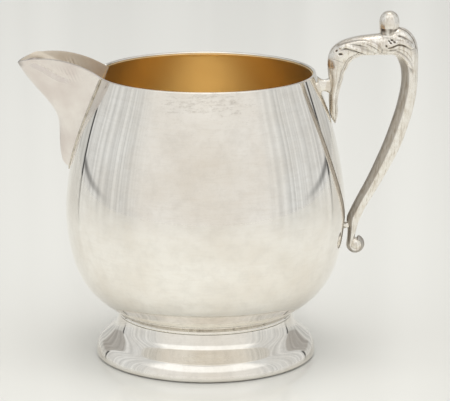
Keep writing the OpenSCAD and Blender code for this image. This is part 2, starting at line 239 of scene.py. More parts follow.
# The blunt lower end: its length as a share, its half width and how far it stands out
NOSE = 0.06
END_HALF, END_PROUD = 1.0 * MM, 1.1 * MM
# How far a section runs on past the seam, and how deep in the bowl's wall it is cut off
RUN_ON, CUT_DEPTH = 2.2 * MM, 1.25 * MM
SEAM_HALVINGS, CUT_HALVINGS = 30, 18


class SpoutForm:
    """The spout's seam, keel and cross sections, with the spout pointing along +X."""

    def __init__(self, s):
        self.s, self.side = s, BowlSide(s)
        self.low = s.rim_z - s.spout_drop
        self.seam = between((END_HALF, self.low), (s.spout_half, s.rim_z), SEAM_SHARES)
        for mark, share in zip(self.seam[1:], SEAM_SHARES):
            mark.x = share[0] * s.spout_half
        foot = (self.side.radius(self.low) + END_PROUD, self.low)
        self.keel = between(foot, (s.spout_reach, s.rim_z + s.tip_rise), KEEL_SHARES)

    def rounding(self, t):
        """How much of the section stands at share t: the lower end is a rounded nose."""
        return math.sqrt(max(0.0, 1 - (1 - t / NOSE) ** 2)) if t < NOSE else 1.0

    def on_bowl(self, half, z):
        """The point of the bowl's outer face at a half width and a height."""
        r = self.side.radius(z)
        return Vector((math.sqrt(r * r - half * half), half, z))

    def seam_at(self, t):
        q = bez(self.seam, t)
        return self.on_bowl(q.x * self.rounding(t), q.y)

    def seam_half(self, z):
        """Half of the width between the seams at a height."""
        if z <= self.low:
            return 0.0
        t, _ = closed_in(0.0, 1.0, lambda t: bez(self.seam, t).y < z, SEAM_HALVINGS)
        return bez(self.seam, t).x

    def section(self, t):
        """Control points of half a section, from the keel to a point inside the bowl."""
        k, q = bez(self.keel, t), bez(self.seam, t)
        keel, seam = Vector((k.x, 0, k.y)), self.on_bowl(q.x, q.y)
        flare = max(0.0, (t - FLARE_FROM) / (1 - FLARE_FROM)) ** 2 * self.s.spout_half
        a = keel + flare * LIP_LIFT + Vector((0, KEEL_FULLNESS * q.x, 0))
        b = seam.lerp(keel, SEAM_PULL) + flare * MOUTH_LIFT
        return [keel, a, b, seam + RUN_ON * (seam - b).normalized()]

    def point(self, t, share):
        """A point of the outer face. share runs from -1 at one seam to 1 at the other."""
        section = self.section(t)

        def is_outside(place):
            p = bez(section, place)
            return math.hypot(p.x, p.y) >= self.side.radius(p.z) - CUT_DEPTH

        _, end = closed_in(0.5, 1.0, is_outside, CUT_HALVINGS)
        p = bez(section, abs(share) * end)
        p.y = math.copysign(p.y, share)
        base = Vector((self.side.radius(p.z) - CUT_DEPTH, 0, p.z))
        return base.lerp(p, self.rounding(t))


def turned(p):
    """The spout is worked out along +X and stands along -X."""
    return Vector((-p.x, p.y, p.z))


# ---------------------------------------------------------------- mesh helpers

DOUBLES = 0.001 * MM
EDGE_SEGMENTS, EDGE_ANGLE = 4, math.radians(55)


def sheet(columns, rows, place, hollow=None):
    """A grid whose corner in column i and row j is moved to place(i, j), with its doubles merged.
    hollow(i, j) is written into the attribute depth."""
    bm = bmesh.new()
    depth = bm.verts.layers.float.new("depth")
    bmesh.ops.create_grid(bm, x_segments=columns, y_segments=rows, size=0.5)
    for v in bm.verts:
        i, j = round((v.co.x + 0.5) * columns), round((v.co.y + 0.5) * rows)
        v.co = place(i, j)
        v[depth] = hollow(i, j) if hollow else 0.0
    bmesh.ops.remove_doubles(bm, verts=bm.verts, dist=DOUBLES)
    bmesh.ops.dissolve_degenerate(bm, edges=bm.edges, dist=DOUBLES / 2)
    bmesh.ops.recalc_face_normals(bm, faces=bm.faces)
    return bm


def turning(outline, steps, centre=(0, 0, 0), hollow=None):
    """An outline of (radius, height) points spun round an upright axis. hollow(place) is written
    into the attribute depth."""
    bm = bmesh.new()
    depth = bm.verts.layers.float.new("depth")
    c = Vector(centre)
    ring = [bm.verts.new(c + Vector((p[0], 0, p[1]))) for p in outline]
    edges = [bm.edges.new(pair) for pair in zip(ring, ring[1:])]
    if (outline[0] - outline[-1]).length > DOUBLES and outline[0].x > 0:
        edges.append(bm.edges.new((ring[-1], ring[0])))
    bmesh.ops.spin(
        bm, geom=ring + edges, cent=c, axis=(0, 0, 1), angle=FULL_TURN, steps=steps, use_merge=True
    )
    bmesh.ops.remove_doubles(bm, verts=bm.verts, dist=DOUBLES)
    bmesh.ops.recalc_face_normals(bm, faces=bm.faces)
    for v in bm.verts:
        v[depth] = hollow(v.co) if hollow else 0.0
    return bm


def piece(name, bm, node, material, wall=0.0, edge=0.0, sharp=40):
    """Makes a finished piece that stands for a CAD node."""
    mesh = bpy.data.meshes.new(name)
    bm.to_mesh(mesh)
    bm.free()
    mesh.shade_smooth()
    mesh.set_sharp_from_angle(angle=math.radians(sharp))
    mesh.materials.append(material)
    made = bpy.data.objects.new(name, mesh)
    bpy.context.scene.collection.objects.link(made)
    if wall:
        thick = made.modifiers.new("sheet", "SOLIDIFY")
        thick.thickness, thick.offset, thick.use_even_offset = wall, -1, True
    if edge:
        round_edge = made.modifiers.new("edge", "BEVEL")
        round_edge.width, round_edge.segments = edge, EDGE_SEGMENTS
        round_edge.limit_method, round_edge.angle_limit = "ANGLE", EDGE_ANGLE
    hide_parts(node)
    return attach(made, "root")


# ---------------------------------------------------------------- materials

# Sockets that share a name with others: the ends of a Map Range, and a Mix of colours
LO, HI, TO_LO, TO_HI = 1, 2, 3, 4
SHARE, UNDER, OVER = 0, 6, 7


def fill(node, sockets):
    """Fills a node's sockets, by name or in order. A value may be another node's socket, or a
    node, which stands for the first output that it has in use."""
    for name, value in sockets.items() if isinstance(sockets, dict) else enumerate(sockets):
        if isinstance(value, bpy.types.Node):
            value = next(output for output in value.outputs if output.enabled)
        if isinstance(value, bpy.types.NodeSocket):
            node.id_data.links.new(value, node.inputs[name])
        else:
            node.inputs[name].default_value = value


def add(tree, kind, sockets=(), stops=(), **settings):
    """Adds a node, sets its options and its colour stops, and fills its sockets."""
    made = tree.nodes.new("ShaderNode" + kind)
    for name, value in settings.items():
        setattr(made, name, value)
    fill(made, sockets)
    for i, (place, value) in enumerate(stops):
        marks = made.color_ramp.elements
        mark = marks[i] if i < 2 else marks.new(place)
        mark.position = place
        mark.color = value if hasattr(value, "__len__") else (value, value, value, 1)
    return made


def sized(across):
    """Scale of a noise whose spots are so many millimetres across."""
    return 1 / (across * MM)


def material(name):
    """A new material, its tree, its shader and the object coordinates."""
    made = bpy.data.materials.new(name)
    made.use_nodes = True
    tree = made.node_tree
    shader = next(n for n in tree.nodes if n.type == "BSDF_PRINCIPLED")
    return made, tree, shader, add(tree, "TexCoord").outputs["Object"]


def silver_plate_spun(finish):
    """Silver plate over spun sheet: a bright mirror that years of polishing have made a little
    hazy, with warm clouds of thin tarnish a centimetre or two across, short hairlines that run
    round the piece, and blotches under the rim. The attribute depth is 1 where painted shade
    darkens it, along the foot's standing edge."""
    made, tree, shader, where = material("silver_plate_spun")
    clouds = add(
        tree, "TexNoise", {"Vector": where, "Scale": sized(16), "Detail": 6, "Roughness": 0.62}
    )
    haze = add(tree, "MapRange", {"Value": clouds, LO: 0.40, HI: 0.68, TO_HI: 0.5})
    # hairlines 6 mm long and 0.7 mm apart
    run = add(tree, "Mapping", {"Vector": where, "Scale": (160, 160, 1400)})
    hair = add(tree, "TexNoise", {"Vector": run, "Scale": 1, "Detail": 3, "Roughness": 0.6})
    rubbed = add(tree, "MapRange", {"Value": hair, LO: 0.48, HI: 0.72, TO_HI: 0.22})
    # grey mottling between them
    mottle = add(
        tree, "TexNoise", {"Vector": where, "Scale": sized(3.5), "Detail": 6, "Roughness": 0.7}
    )
    grey = add(tree, "MapRange", {"Value": mottle, LO: 0.46, HI: 0.66, TO_HI: 0.32})
    # blotches 2.6 mm long and 1 mm high, most of them under the front of the rim
    blot_run = add(tree, "Mapping", {"Vector": where, "Scale": (380, 380, 1000)})
    blots = add(tree, "TexNoise", {"Vector": blot_run, "Scale": 1, "Detail": 4, "Roughness": 0.7})
    place = add(tree, "SeparateXYZ", [where])
    under_rim = add(tree, "MapRange", {"Value": place.outputs["Z"], LO: 76.5 * MM, HI: 85 * MM})
    ahead = add(tree, "MapRange", {"Value": place.outputs["Y"], LO: -28 * MM, HI: -34 * MM})
    patch = add(tree, "Math", [under_rim, ahead], operation="MULTIPLY")
    least = add(tree, "MapRange", {"Value": patch, TO_LO: 0.72, TO_HI: 0.45})
    over = add(tree, "Math", [blots, least], operation="SUBTRACT")
    flecks = add(tree, "MapRange", {"Value": over, HI: 0.2, TO_HI: 0.42})
    depth = add(tree, "Attribute", attribute_name="depth", attribute_type="GEOMETRY")
    layers = [
        # the last layer, read from depth, paints shade in the oxide colour along the foot's
        # standing edge
        (haze, finish.tarnish), (rubbed, finish.tarnish), (grey, rgb("#DCD8D1")),
        (flecks, rgb("#ADA59B")), (depth.outputs["Fac"], finish.oxide_and_shade),
    ]
    tone = finish.silver
    for share, tint in layers:
        tone = add(tree, "Mix", {SHARE: share, UNDER: tone, OVER: tint}, data_type="RGBA")
    rough = add(tree, "MapRange", {"Value": clouds, LO: 0.3, HI: 0.7, TO_LO: 0.02, TO_HI: 0.06})
    bump = add(tree, "Bump", {"Height": hair, "Strength": 0.012, "Distance": 0.02 * MM})
    fill(shader, {"Base Color": tone, "Metallic": 1, "Roughness": rough, "Normal": bump})
    return made


def silver_plate_folded(finish):
    """Silver plate over a folded and filed sheet: hazier than the spun bowl, with shallow dents
    and pinkish tarnish. The attribute depth darkens it at the spout's folded tip."""
    made, tree, shader, where = material("silver_plate_folded")
    clouds = add(
        tree, "TexNoise", {"Vector": where, "Scale": sized(9), "Detail": 5, "Roughness": 0.6}
    )
    haze = add(tree, "MapRange", {"Value": clouds, LO: 0.34, HI: 0.64, TO_LO: 0.45})
    depth = add(tree, "Attribute", attribute_name="depth", attribute_type="GEOMETRY")
    tone = finish.silver
    for share, tint in ((haze, rgb("#DED5CF")), (depth.outputs["Fac"], finish.oxide_and_shade)):
        tone = add(tree, "Mix", {SHARE: share, UNDER: tone, OVER: tint}, data_type="RGBA")
    rough = add(tree, "MapRange", {"Value": clouds, LO: 0.3, HI: 0.7, TO_LO: 0.14, TO_HI: 0.24})
    dents = add(tree, "TexNoise", {"Vector": where, "Scale": sized(3.5), "Detail": 2})
    bump = add(tree, "Bump", {"Height": dents, "Strength": 0.25, "Distance": 0.08 * MM})
    fill(shader, {"Base Color": tone, "Metallic": 1, "Roughness": rough, "Normal": bump})
    return made


def silver_plate_unpolished():
    """Silver plate inside the spout, where no cloth reaches: satin, with beige tarnish."""
    made, tree, shader, where = material("silver_plate_unpolished")
    clouds = add(
        tree, "TexNoise", {"Vector": where, "Scale": sized(6), "Detail": 5, "Roughness": 0.6}
    )
    haze = add(tree, "MapRange", {"Value": clouds, LO: 0.35, HI: 0.65})
    tone = add(
        tree, "Mix", {SHARE: haze, UNDER: rgb("#E6DDCF"), OVER: rgb("#D8CCBB")}, data_type="RGBA"
    )
    fill(shader, {"Base Color": tone, "Metallic": 0.6, "Roughness": 0.42})
    return made


def silver_plate_cast(finish):
    """Silver plate over a casting: bright on the worn crests, with polishing lines that run up and
    down, and dark sulphide left in the folds. The attribute depth is 0 on crests and 1 in folds;
    it also paints shade on the limb's inner face and over the knob's cup."""
    made, tree, shader, where = material("silver_plate_cast")
    depth = add(tree, "Attribute", attribute_name="depth", attribute_type="GEOMETRY").outputs["Fac"]
    grain = add(
        tree, "TexNoise", {"Vector": where, "Scale": sized(2.2), "Detail": 4, "Roughness": 0.6}
    )
    haze = add(tree, "MapRange", {"Value": grain, LO: 0.35, HI: 0.68, TO_HI: 0.8})
    # lines 0.6 mm apart and 6 mm long
    run = add(tree, "Mapping", {"Vector": where, "Scale": (1600, 1600, 170)})
    lines = add(tree, "TexNoise", {"Vector": run, "Scale": 1, "Detail": 3})
    streak = add(tree, "MapRange", {"Value": lines, LO: 0.5, HI: 0.72, TO_HI: 0.75})
    # depth brings in the oxide colour: sulphide in the folds, and painted shade on the limb's inner
    # face and the cup
    stain_and_shade = add(tree, "Math", [depth, 0.92], operation="MULTIPLY")
    tone = finish.silver
    for share, tint in (haze, finish.tarnish), (streak, rgb("#BDB09D")), (stain_and_shade, finish.oxide_and_shade):
        tone = add(tree, "Mix", {SHARE: share, UNDER: tone, OVER: tint}, data_type="RGBA")
    rough = add(tree, "MapRange", {"Value": depth, HI: 0.8, TO_LO: 0.26, TO_HI: 0.45})
    bump = add(tree, "Bump", {"Height": grain, "Strength": 0.3, "Distance": 0.05 * MM})
    ripple = add(
        tree, "Bump",
        {"Height": lines, "Strength": 0.35, "Distance": 0.03 * MM, "Normal": bump},
    )
    fill(shader, {"Base Color": tone, "Metallic": 1, "Roughness": rough, "Normal": ripple})
    return made


def gold_wash(finish):
    """Gold wash on spun silver plate: thin satin gold, a little browner where it has worn."""
    made, tree, shader, where = material("gold_wash")
    clouds = add(tree, "TexNoise", {"Vector": where, "Scale": sized(20), "Detail": 4})
    wear = add(tree, "MapRange", {"Value": clouds, LO: 0.35, HI: 0.7, TO_HI: 0.2})
    tone = add(
        tree, "Mix", {SHARE: wear, UNDER: finish.gold, OVER: rgb("#F3CF92")}, data_type="RGBA"
    )
    # spinning lines 8 mm long and 0.7 mm apart
    run = add(tree, "Mapping", {"Vector": where, "Scale": (120, 120, 1400)})
    lines = add(tree, "TexNoise", {"Vector": run, "Scale": 1, "Detail": 2})
    rough = add(tree, "MapRange", {"Value": lines, LO: 0.3, HI: 0.7, TO_LO: 0.30, TO_HI: 0.33})
    fill(shader, {"Base Color": tone, "Metallic": 1, "Roughness": rough})
    return made


def plated_solder(finish):
    """Plated solder: duller than the sheet, with brown specks a millimetre or two across."""
    made, tree, shader, where = material("plated_solder")
    specks = add(tree, "TexNoise", {"Vector": where, "Scale": sized(1.5), "Detail": 3})
    spots = add(tree, "MapRange", {"Value": specks, LO: 0.52, HI: 0.7, TO_HI: 0.38})
    tone = add(
        tree, "Mix", {SHARE: spots, UNDER: finish.solder, OVER: finish.oxide_and_shade}, data_type="RGBA"
    )
    rough = add(tree, "MapRange", {"Value": specks, LO: 0.3, HI: 0.7, TO_LO: 0.2, TO_HI: 0.5})
    fill(shader, {"Base Color": tone, "Metallic": 1, "Roughness": rough})
    return made


def table_acrylic(finish):
    """Gloss acrylic sheet, which mirrors the foot faintly."""
    made, tree, shader, where = material("table_acrylic")
    faint = add(tree, "TexNoise", {"Vector": where, "Scale": sized(250), "Detail": 2})
    shade = add(tree, "MapRange", {"Value": faint, LO: 0.3, HI: 0.7, TO_HI: 0.12})
    tone = add(
        tree, "Mix", {SHARE: shade, UNDER: finish.table, OVER: rgb("#EAEBE6")}, data_type="RGBA"
    )
    fill(shader, {"Base Color": tone, "Roughness": 0.03, "IOR": 1.49})
    return made


# ---------------------------------------------------------------- pieces

HAIR = 0.02 * MM
BOWL_COLUMNS, WASH_COLUMNS = 256, 220
# The sheet is cut back by this much inside the spout's seam
NOTCH_INSET = 0.45 * MM
# The rim was trimmed by hand, a little lower at the front than at the back
RIM_DIP, DIP_FROM = 0.65 * MM, 0.79


class JUG_OT_bowl(bpy.types.Operator):
    """Spins the bowl and its gold wash, both open behind the spout"""

    bl_idname = "jug.make_bowl"
    bl_label = "Bowl and gold wash"

    def execute(self, context):
        s, finish = context.scene.jug_sizes, context.scene.jug_finish
        outline, form = bowl_outline(s), SpoutForm(s)

        def open_sheet(rows, columns):
            def place(i, j):
                r, z = rows[j]
                half = max(form.seam_half(z - NOTCH_INSET) - NOTCH_INSET, 0.0)
                notch = math.asin(min(1.0, half / r)) if r > 0 and half > 0 else 0.0
                a = notch + i / columns * 2 * (math.pi - notch)
                front = (1 + math.sin(a)) / 2
                dip = RIM_DIP * front * ramp(z / s.rim_z, DIP_FROM, 1)
                return Vector((-r * math.cos(a), -r * math.sin(a), z - dip))

            return sheet(columns, len(rows) - 1, place)

        lean = (outline[-1] - outline[-2]).normalized()
        outer = outline + [outline[-1] + lean * s.wall / 2]
        piece("bowl", open_sheet(outer, BOWL_COLUMNS), "body_shell",
              silver_plate_spun(finish), wall=s.wall, edge=0.45 * s.wall)
        under = s.wall + HAIR
        inner = [p + under * inward(outline, i) for i, p in enumerate(outline)]
        inner[0] = Vector((0, s.bottom_z + under))
        piece("gold_wash", open_sheet(inner, WASH_COLUMNS), "gilt_lining",
              gold_wash(finish), wall=s.gilt, edge=0.3 * s.gilt)
        return {"FINISHED"}


# The foot's flange and the roll at its edge, as shares of its run and of its height
FLANGE_SHARES = [(0.063, 0.959), (0.110, 0.773), (0.239, 0.681), (0.117, 0.690), (0.721, 0.418)]
ROLL_SHARES = [(0.721, 0.418), (0.915, 0.333), (1.010, 0.228), (1.083, 0.067), (1, 0)]
FLANGE_STEPS, ROLL_STEPS, FOOT_STEPS = 40, 20, 240
# The rolled lip under the bowl: its radius, its middle below the bowl's seam in radii, and its
# points in degrees
LIP_ROLL, LIP_DROP, LIP_START, LIP_STEP, LIP_POINTS = 0.65 * MM, 1.15, -76, 13, 17
# The standing edge is rounded in by EDGE_INSET over EDGE_HEIGHT, and painted shade darkens it where
# it meets the table
EDGE_HEIGHT, EDGE_INSET = 0.6 * MM, 0.5 * MM
EDGE_SHADE, EDGE_SHADE_HEIGHT = 0.7, 0.9 * MM
# The solder in the nook between lip and bowl: its place in lip radii, its radius and its waves,
# which move it outwards and up
NOOK, SOLDER_R, SOLDER_SIDES, SOLDER_STEPS = Vector((0.30, 1.05)), 0.38 * MM, 14, 360
SOLDER_WAVE, SOLDER_LIFT = 0.07 * MM, Vector((0, 0, 0.4))
SLOW_WAVES, FAST_WAVES, FAST_SHARE = 420, 1300, 0.6


class JUG_OT_foot(bpy.types.Operator):
    """Spins the foot with its lip, and the solder line between the lip and the bowl"""

    bl_idname = "jug.make_foot"
    bl_label = "Foot and its solder"

    def execute(self, context):
        s, finish = context.scene.jug_sizes, context.scene.jug_finish
        lip = Vector((s.seam_r, s.seam_z - LIP_DROP * LIP_ROLL))

        def part(shares, steps):
            marks = [Vector((lip.x + a * (s.foot_r - lip.x), b * lip.y)) for a, b in shares]
            return curve(marks, steps)

        outer = part(FLANGE_SHARES, FLANGE_STEPS) + part(ROLL_SHARES, ROLL_STEPS)[1:]
        outer.reverse()
        outer = [
            p - Vector((EDGE_INSET * max(0.0, 1 - p.y / EDGE_HEIGHT) ** 2, 0)) for p in outer
        ]
        inner = [p + s.foot_wall * inward(outer, i) for i, p in enumerate(outer)][1:]
        inner = [p for p in inner if p.y > HAIR]
        angles = [math.radians(LIP_START + LIP_STEP * i) for i in range(LIP_POINTS)]
        loop = outer + ring_of(lip, LIP_ROLL, angles) + inner[::-1]
        loop.append(Vector((s.foot_r - s.foot_wall, 0)))

        # painted shade along the foot's standing edge, darkest where it meets the table
        def darkening(p):
            return EDGE_SHADE * ramp(p.z, EDGE_SHADE_HEIGHT, 0)

        foot = turning(loop, FOOT_STEPS, hollow=darkening)
        piece("foot", foot, "foot_shell", silver_plate_spun(finish), sharp=60)

        angles = [FULL_TURN * i / SOLDER_SIDES for i in range(SOLDER_SIDES)]
        solder = turning(ring_of(lip + NOOK * LIP_ROLL, SOLDER_R, angles), SOLDER_STEPS)
        for v in solder.verts:
            out = Vector((v.co.x, v.co.y, 0)).normalized()
            wave = noise.noise(v.co * SLOW_WAVES) + FAST_SHARE * noise.noise(v.co * FAST_WAVES)
            v.co += SOLDER_WAVE * wave * (out + SOLDER_LIFT)
        piece("foot_solder_line", solder, "foot_solder", plated_solder(finish))
        return {"FINISHED"}


SPOUT_COLUMNS, SPOUT_ROWS = 240, 112
# The crease that was pressed in under the lip: its depth, its share at the keel, how far that
# falls towards the sides, and its half width
CREASE_DEPTH, CREASE_SHARE, CREASE_FALL, CREASE_HALF = 0.62 * MM, 0.985, 0.062, 0.015
# File ripples at its end: their depth, the middle of their patch and its half sizes, and how
# closely they follow each other across the spout and along it
RIPPLE_DEPTH, RIPPLE_MID, RIPPLE_HALF = 0.16 * MM, (0.945, 0.70), (0.022, 0.09)
RIPPLE_WAVES = (170, 175)
TIP_DARKENING = 0.7
# The bead of solder: its radius, how much wider than high it is, how uneven, and its mesh
BEAD_R, BEAD_SPREAD, BEAD_UNEVEN, BEAD_WAVES = 0.34 * MM, 1.5, 0.10, 500
BEAD_SIDES, BEAD_STEPS, BEAD_END = 12, 360, 4


def pressed(t, side):
    """How far the spout's sheet was pressed in by the crease and the file ripples, at a share of
    the way up and of the way from the keel to the seam."""
    line = CREASE_SHARE - CREASE_FALL * ramp(side, 0.30, 0.64)
    crease = math.exp(-(((t - line) / CREASE_HALF) ** 2))
    crease *= ramp(side, 0.22, 0.37) * ramp(side, 0.78, 0.58)
    off = [(p - mid) / half for p, mid, half in zip((t, side), RIPPLE_MID, RIPPLE_HALF)]
    waves = math.sin(RIPPLE_WAVES[0] * t + RIPPLE_WAVES[1] * side)
    return CREASE_DEPTH * crease + RIPPLE_DEPTH * math.exp(-(off[0] ** 2) - off[1] ** 2) * waves


def tip_darkening(t, side):
    """Darker colour in the fold at the spout's tip."""
    return TIP_DARKENING * ramp(t, 0.965, 0.985) * ramp(side, 0.24, 0)


class JUG_OT_spout(bpy.types.Operator):
    """Folds the spout's sheet and lays the solder bead along its seam"""

    bl_idname = "jug.make_spout"
    bl_label = "Spout and its solder"

    def execute(self, context):
        s, finish = context.scene.jug_sizes, context.scene.jug_finish
        form = SpoutForm(s)
        columns, rows, half = SPOUT_COLUMNS, SPOUT_ROWS, SPOUT_COLUMNS // 2
        right = [[form.point(j / rows, i / half) for j in range(rows + 1)] for i in range(half + 1)]
        left = [[Vector((p.x, -p.y, p.z)) for p in line] for line in right[:0:-1]]
        points = left + right

        def place(i, j):
            a, b = points[max(i - 1, 0)][j], points[min(i + 1, columns)][j]
            c, d = points[i][max(j - 1, 0)], points[i][min(j + 1, rows)]
            out = (b - a).cross(d - c)
            out = out.normalized() if out.length > 0 else Vector((0, 0, 0))
            roughly_out = Vector((1, 0.4 * points[i][j].y / s.spout_half, 0))
            if out.dot(roughly_out) < 0:
                out = -out
            return turned(points[i][j] - pressed(j / rows, abs(2 * i / columns - 1)) * out)

        def darkening(i, j):
            return tip_darkening(j / rows, abs(2 * i / columns - 1))

        made = piece("pouring_spout", sheet(columns, rows, place, darkening), "spout",
                     silver_plate_folded(finish), wall=s.spout_wall, edge=0.4 * s.spout_wall)
        made.data.materials.append(silver_plate_unpolished())
        made.modifiers["sheet"].material_offset = 1

        steps = BEAD_STEPS
        seam = [form.seam_at(abs(1 - 2 * j / steps)) for j in range(steps + 1)]
        for p in seam[steps // 2 + 1 :]:
            p.y = -p.y

        def bead(i, j):
            along = (seam[min(j + 1, steps)] - seam[max(j - 1, 0)]).normalized()
            out = form.side.facing(seam[j])
            across = BEAD_SPREAD * along.cross(out)
            a = FULL_TURN * i / BEAD_SIDES
            r = BEAD_R * (1 + BEAD_UNEVEN * noise.noise(seam[j] * BEAD_WAVES))
            r *= min(1.0, math.sqrt(min(j, steps - j) / BEAD_END))
            return turned(seam[j] + r * (math.cos(a) * out + math.sin(a) * across))

        piece("spout_solder_bead", sheet(BEAD_SIDES, steps, bead), "spout_solder",
              plated_solder(finish))
        return {"FINISHED"}


# How far out the handle's path is from the line of the bowl, how high above the scroll, and the
# half depth and half thickness, as shares
HANDLE_ROWS = [
    (0.034, 0.610, 0.13, 0.12), (0.034, 0.661, 0.49, 0.41), (0.039, 0.704, 0.52, 0.59),
    (0.052, 0.745, 0.57, 0.68), (0.077, 0.786, 0.64, 0.74), (0.101, 0.829, 0.82, 0.79),
    (0.123, 0.873, 1.03, 0.85), (0.150, 0.907, 1.24, 0.91), (0.190, 0.942, 1.38, 0.97),
    (0.251, 0.966, 1.36, 1.00), (0.337, 0.983, 1.26, 1.00), (0.448, 0.996, 1.19, 1.00),
    (0.569, 1.001, 1.22, 1.00), (0.675, 1.004, 1.27, 1.03), (0.790, 1.009, 1.42, 1.06),
    (0.901, 1.019, 1.69, 1.06), (0.970, 0.998, 1.60, 1.03), (1.006, 0.958, 1.33, 0.97),
    (1.016, 0.909, 1.08, 0.91), (1.010, 0.861, 0.97, 0.88), (0.990, 0.804, 0.96, 0.87),
    (0.935, 0.724, 1.00, 0.85), (0.858, 0.643, 1.02, 0.82), (0.721, 0.523, 1.03, 0.79),
    (0.581, 0.423, 0.96, 0.76), (0.424, 0.322, 0.85, 0.71), (0.252, 0.220, 0.77, 0.65),
    (0.174, 0.169, 0.76, 0.62), (0.121, 0.129, 0.77, 0.59), (0.100, 0.089, 0.57, 0.56),
    (0.077, 0.049, 0.46, 0.56),
]
# Half a section of the lower limb: one face from the outer edge to the ridge, and one from there
# to the inner edge. The limb takes this form between two rows.
RIDGE_ANGLE, RIDGE_FROM, RIDGE_FULL = 135, 16, 19
OUTER_FACE = [Vector(p) for p in ((1, 0), (1.02, 0.74), (0.42, 0.84), (-0.20, 1))]
INNER_FACE = [Vector(p) for p in ((-0.20, 1), (-0.56, 0.70), (-1, 0.42), (-1, 0))]

# Folds of the leaf: first and last row, four angles from the outer edge, two widths in degrees
# and a height. A fold falls off sharply on one side and gently on the other.
FOLDS = [
    (0.4, 7.5, (90, 92, 88, 84), 24, 24, 0.8),
    (8.6, 13.2, (44, 67, 36, 118), 10, 14, 0.75),
    (8.8, 13.2, (52, 72, 180, 126), 20, 6, 0.95),
    (11.0, 13.6, (72, 96, 118, 146), 12, 14, 0.45),
    (13.7, 16.6, (100, 92, 92, 62), 13, 5, 0.95),
    (14.4, 15.8, (66, 76, 74, 66), 6, 6, 0.4),
    (13.4, 15.0, (34, 46, 60, 66), 8, 8, 0.5),
    (13.2, 18.4, (124, 152, 140, 98), 9, 14, 0.8),
]
# Chased lines and pits in the leaf: (row, angle) points, half width in mm and a height in mm
STROKES = [
    ([(9.0, 52), (9.8, 56), (10.4, 66), (11.0, 80), (11.6, 92)], 0.17, -0.09),
    ([(9.2, 67), (9.8, 79), (10.2, 93), (10.6, 111), (10.9, 131), (11.3, 144), (12.0, 146)],
     0.16, -0.14),
    ([(5.0, 118), (7.1, 124), (9.0, 124), (10.2, 127), (10.6, 118)], 0.15, -0.10),
    ([(11.6, 76), (12.2, 92), (12.8, 112), (13.2, 130)], 0.15, -0.07),
    ([(11.9, 98), (12.5, 116), (12.9, 130)], 0.15, -0.07),
    ([(13.6, 92), (13.9, 106), (14.3, 108), (14.8, 102), (15.4, 97), (16.0, 84)], 0.16, -0.09),
    ([(14.3, 64), (14.9, 62), (15.5, 60), (16.2, 48)], 0.15, -0.07),
    ([(14.0, 120), (15.0, 122), (16.0, 108), (16.8, 92), (17.6, 84)], 0.16, -0.08),
    ([(14.9, 4), (15.1, 18), (15.4, 23), (15.7, 27), (16.1, 29), (16.7, 33)], 0.3, -0.2),
    ([(8.38, 47), (8.42, 49)], 0.26, -0.3),
    ([(8.36, 73), (8.48, 78)], 0.36, -0.55),
    ([(14.06, 71), (14.14, 74)], 0.22, -0.32),
    ([(14.36, 72), (14.46, 74)], 0.22, -0.32),
    ([(14.18, 82), (14.26, 86)], 0.22, -0.32),
    ([(14.56, 84), (14.66, 88)], 0.24, -0.34),
    ([(13.72, 92), (13.76, 97)], 0.20, -0.20),
]
FOLD_HEIGHT = 0.65
# Millimetres from row to row and round the girth, and how many half widths a stroke is cut off at
ROW_LENGTH, GIRTH_RADIUS, STROKE_REACH = 2.6, 3.1, 3

ARM_RISE, LUG_RISE = 8.05 * MM, 6.1 * MM
# The scroll: its place and radius, its rows, the degrees between them, and its bar's half depth
SCROLL_OUT, SCROLL_R, SCROLL_ROWS, SCROLL_STEP = 4.45 * MM, 1.55 * MM, 14, 20
SCROLL_HALF = (0.75, 0.92)
AHEAD = 0.02

# The mesh of the casting: the leaf's rows are cut finer than the rest
HANDLE_COLUMNS, LEAF_FROM, LEAF_TO, RELIEF_TO = 168, 7, 18, 19
LEAF_STEP, PLAIN_STEP, END_STATIONS = 1 / 26, 1 / 8, 5
# Stations and columns that a fold's dirt looks across, and the depth that holds all of it
LOOK_ALONG, LOOK_ROUND, FOLD_DEPTH = 4, 3, 0.13 * MM

# The knob's place on the arm, its seat, the cup that carries it in mm, and its egg in shares
KNOB_PLACE, SEAT_RISE, CALYX_R = 0.797, 5.25 * MM, 3.0 * MM
CUP = [(2.75, -2.2), (2.9, -0.6), (3.0, -0.02)]
EGG = [(0.967, 0), (1.082, 0.43), (0.95, 1), (0, 1)]
# The ball that closes the middle of the scroll
EYE_R, EYE_HALF = 2.3 * MM, 2.1 * MM
EYE = [(0, -1), (0.9, -1), (1.25, 0), (0.9, 1), (0, 1)]
# The meshes of these three: points along the outline, and steps round the axis
KNOB_MESH, CALYX_MESH, EYE_MESH = (32, 96), (12, 72), (24, 48)
# Painted shade on the cup, mottled: its middle level, how much it varies, and how closely; and
# painted shade on the limb's inner face
CALYX_SHADE, CALYX_SHADE_SPREAD, CALYX_SHADE_SPOTS, LIMB_INNER_SHADE = 0.45, 1.2, 900, 0.5


def fold(shape, row, angle):
    first, last, angles, before, after, height = shape
    s = (row - first) / (last - first)
    if not 0 < s < 1:
        return 0.0
    weights = ((1 - s) ** 3, 3 * s * (1 - s) ** 2, 3 * s * s * (1 - s), s**3)
    off = angle - sum(k * a for k, a in zip(weights, angles))
    fall = math.exp(-((off / (before if off < 0 else after)) ** 2))
    return height * math.sqrt(math.sin(math.pi * s)) * fall


